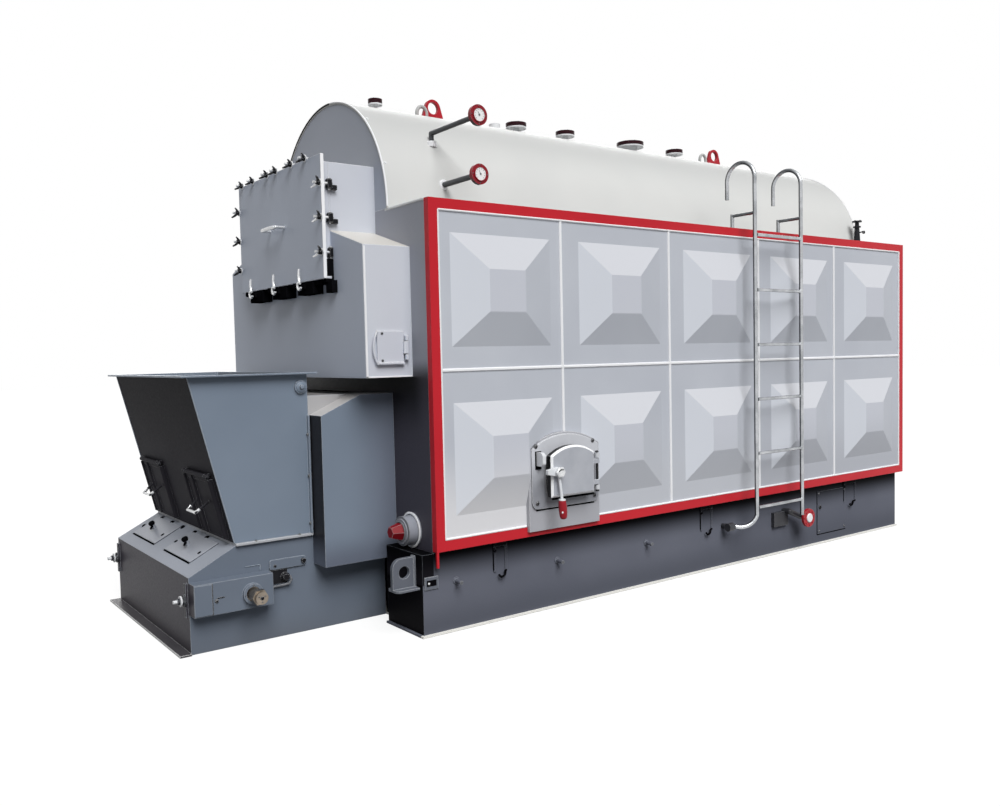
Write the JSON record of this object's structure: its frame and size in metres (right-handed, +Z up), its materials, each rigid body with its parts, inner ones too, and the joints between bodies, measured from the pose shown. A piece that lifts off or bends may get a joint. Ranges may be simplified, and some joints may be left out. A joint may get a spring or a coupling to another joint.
{
  "type": "packaged chain-grate steam boiler",
  "caption": "Packaged coal-fired steam boiler: round-topped drum over a panelled furnace casing on a base, with coal hopper, front smokebox, fire door and side ladder.",
  "frame": {"origin": "middle of the underside of the base", "axes": "+Z up, +X towards the side with the ladder and fire door, -Y towards the coal hopper"},
  "size_m": [2.6791, 6.3435, 3.4368],
  "materials": {
    "base_enamel": "dark grey enamel on the base beams",
    "boiler_plate": "primed boiler plate under the jacket",
    "bright_steel": "polished steel tube",
    "cast_grey": "light grey painted casting",
    "grate_iron": "bare cast iron of the chain grate",
    "grey_enamel": "blue-grey machine enamel on steel plate",
    "panel_sheet": "light grey coated, pressed sheet",
    "red_trim": "red enamel",
    "refractory": "refractory lining behind the casing",
    "white_jacket": "off-white coated sheet over insulation"
  },
  "bodies": {
    "root": {"base_beam_left": "base_enamel", "base_beam_right": "base_enamel", "base_fittings": "base_enamel", "base_floor_plate": "base_enamel", "base_lugs": "base_enamel", "base_rear_plate": "base_enamel", "chain_grate": "grate_iron", "cleanout_hinge_left": "grey_enamel", "cleanout_hinge_right": "grey_enamel", "cover_handle": "grey_enamel", "drive_housing": "grey_enamel", "drum_front_plate": "grey_enamel", "drum_jacket": "white_jacket", "drum_lugs": "red_trim", "feed_box": "grey_enamel", "fire_door_hinge": "cast_grey", "fire_door_plate": "cast_grey", "flap_hinge_left": "grey_enamel", "flap_hinge_right": "grey_enamel", "front_wall": "grey_enamel", "furnace_wall_left": "refractory", "furnace_wall_right": "refractory", "gauge_pipes": "cast_grey", "grate_frame": "grate_iron", "header_coupling": "cast_grey", "hopper_foot_flange": "grey_enamel", "hopper_front": "grey_enamel", "hopper_rear": "grey_enamel", "hopper_rim": "grey_enamel", "hopper_side_left": "grey_enamel", "hopper_side_right": "grey_enamel", "inspection_covers": "grey_enamel", "ladder_rungs": "bright_steel", "ladder_stiles": "bright_steel", "lower_panels_left": "panel_sheet", "lower_panels_right": "panel_sheet", "rear_wall": "grey_enamel", "roof_shoulders": "white_jacket", "seam_bars_left": "panel_sheet", "seam_bars_right": "panel_sheet", "side_box_left": "grey_enamel", "side_box_right": "grey_enamel", "smokebox_body": "grey_enamel", "smokebox_cover": "grey_enamel", "smokebox_neck": "grey_enamel", "steam_drum": "boiler_plate", "stoker_box": "grey_enamel", "stoker_floor_lip": "grey_enamel", "top_nozzles": "grey_enamel", "trim_frame_left": "red_trim", "trim_frame_right": "red_trim", "upper_panels_left": "panel_sheet", "upper_panels_right": "panel_sheet"},
    "fire_door": {"fire_door": "cast_grey"},
    "fire_lever": {"fire_door_lever": "cast_grey"},
    "cleanout_right": {"cleanout_door_right": "grey_enamel"},
    "cleanout_left": {"cleanout_door_left": "grey_enamel"},
    "flap_left": {"hopper_flap_left": "grey_enamel"},
    "flap_right": {"hopper_flap_right": "grey_enamel"},
    "grate_shaft": {"grate_shaft": "bright_steel"}
  },
  "joints": [
    {"name": "fire_door_hinge", "type": "hinge", "parent": "root", "child": "fire_door", "pos_m": [1.305, -1.23, 0.85], "axis": [0, 0, 1], "range_deg": [0, 110]},
    {"name": "fire_lever_pivot", "type": "hinge", "parent": "fire_door", "child": "fire_lever", "pos_m": [1.36, -1.6, 0.885], "axis": [1, 0, 0], "range_deg": [0, 50]},
    {"name": "cleanout_hinge_right", "type": "hinge", "parent": "root", "child": "cleanout_right", "pos_m": [1.025, -2.4415, 1.66], "axis": [0, 0, 1], "range_deg": [0, 90]},
    {"name": "cleanout_hinge_left", "type": "hinge", "parent": "root", "child": "cleanout_left", "pos_m": [-1.025, -2.4415, 1.66], "axis": [0, 0, -1], "range_deg": [0, 90]},
    {"name": "flap_hinge_left", "type": "hinge", "parent": "root", "child": "flap_left", "pos_m": [-0.582, -3.46155, 0.9595], "axis": [-1, 0, 0], "range_deg": [0, 70]},
    {"name": "flap_hinge_right", "type": "hinge", "parent": "root", "child": "flap_right", "pos_m": [0.328, -3.46155, 0.9595], "axis": [-1, 0, 0], "range_deg": [0, 70]},
    {"name": "grate_shaft_spin", "type": "hinge", "parent": "root", "child": "grate_shaft", "pos_m": [0.7, -3.29, 0.305], "axis": [1, 0, 0], "continuous": true}
  ]
}
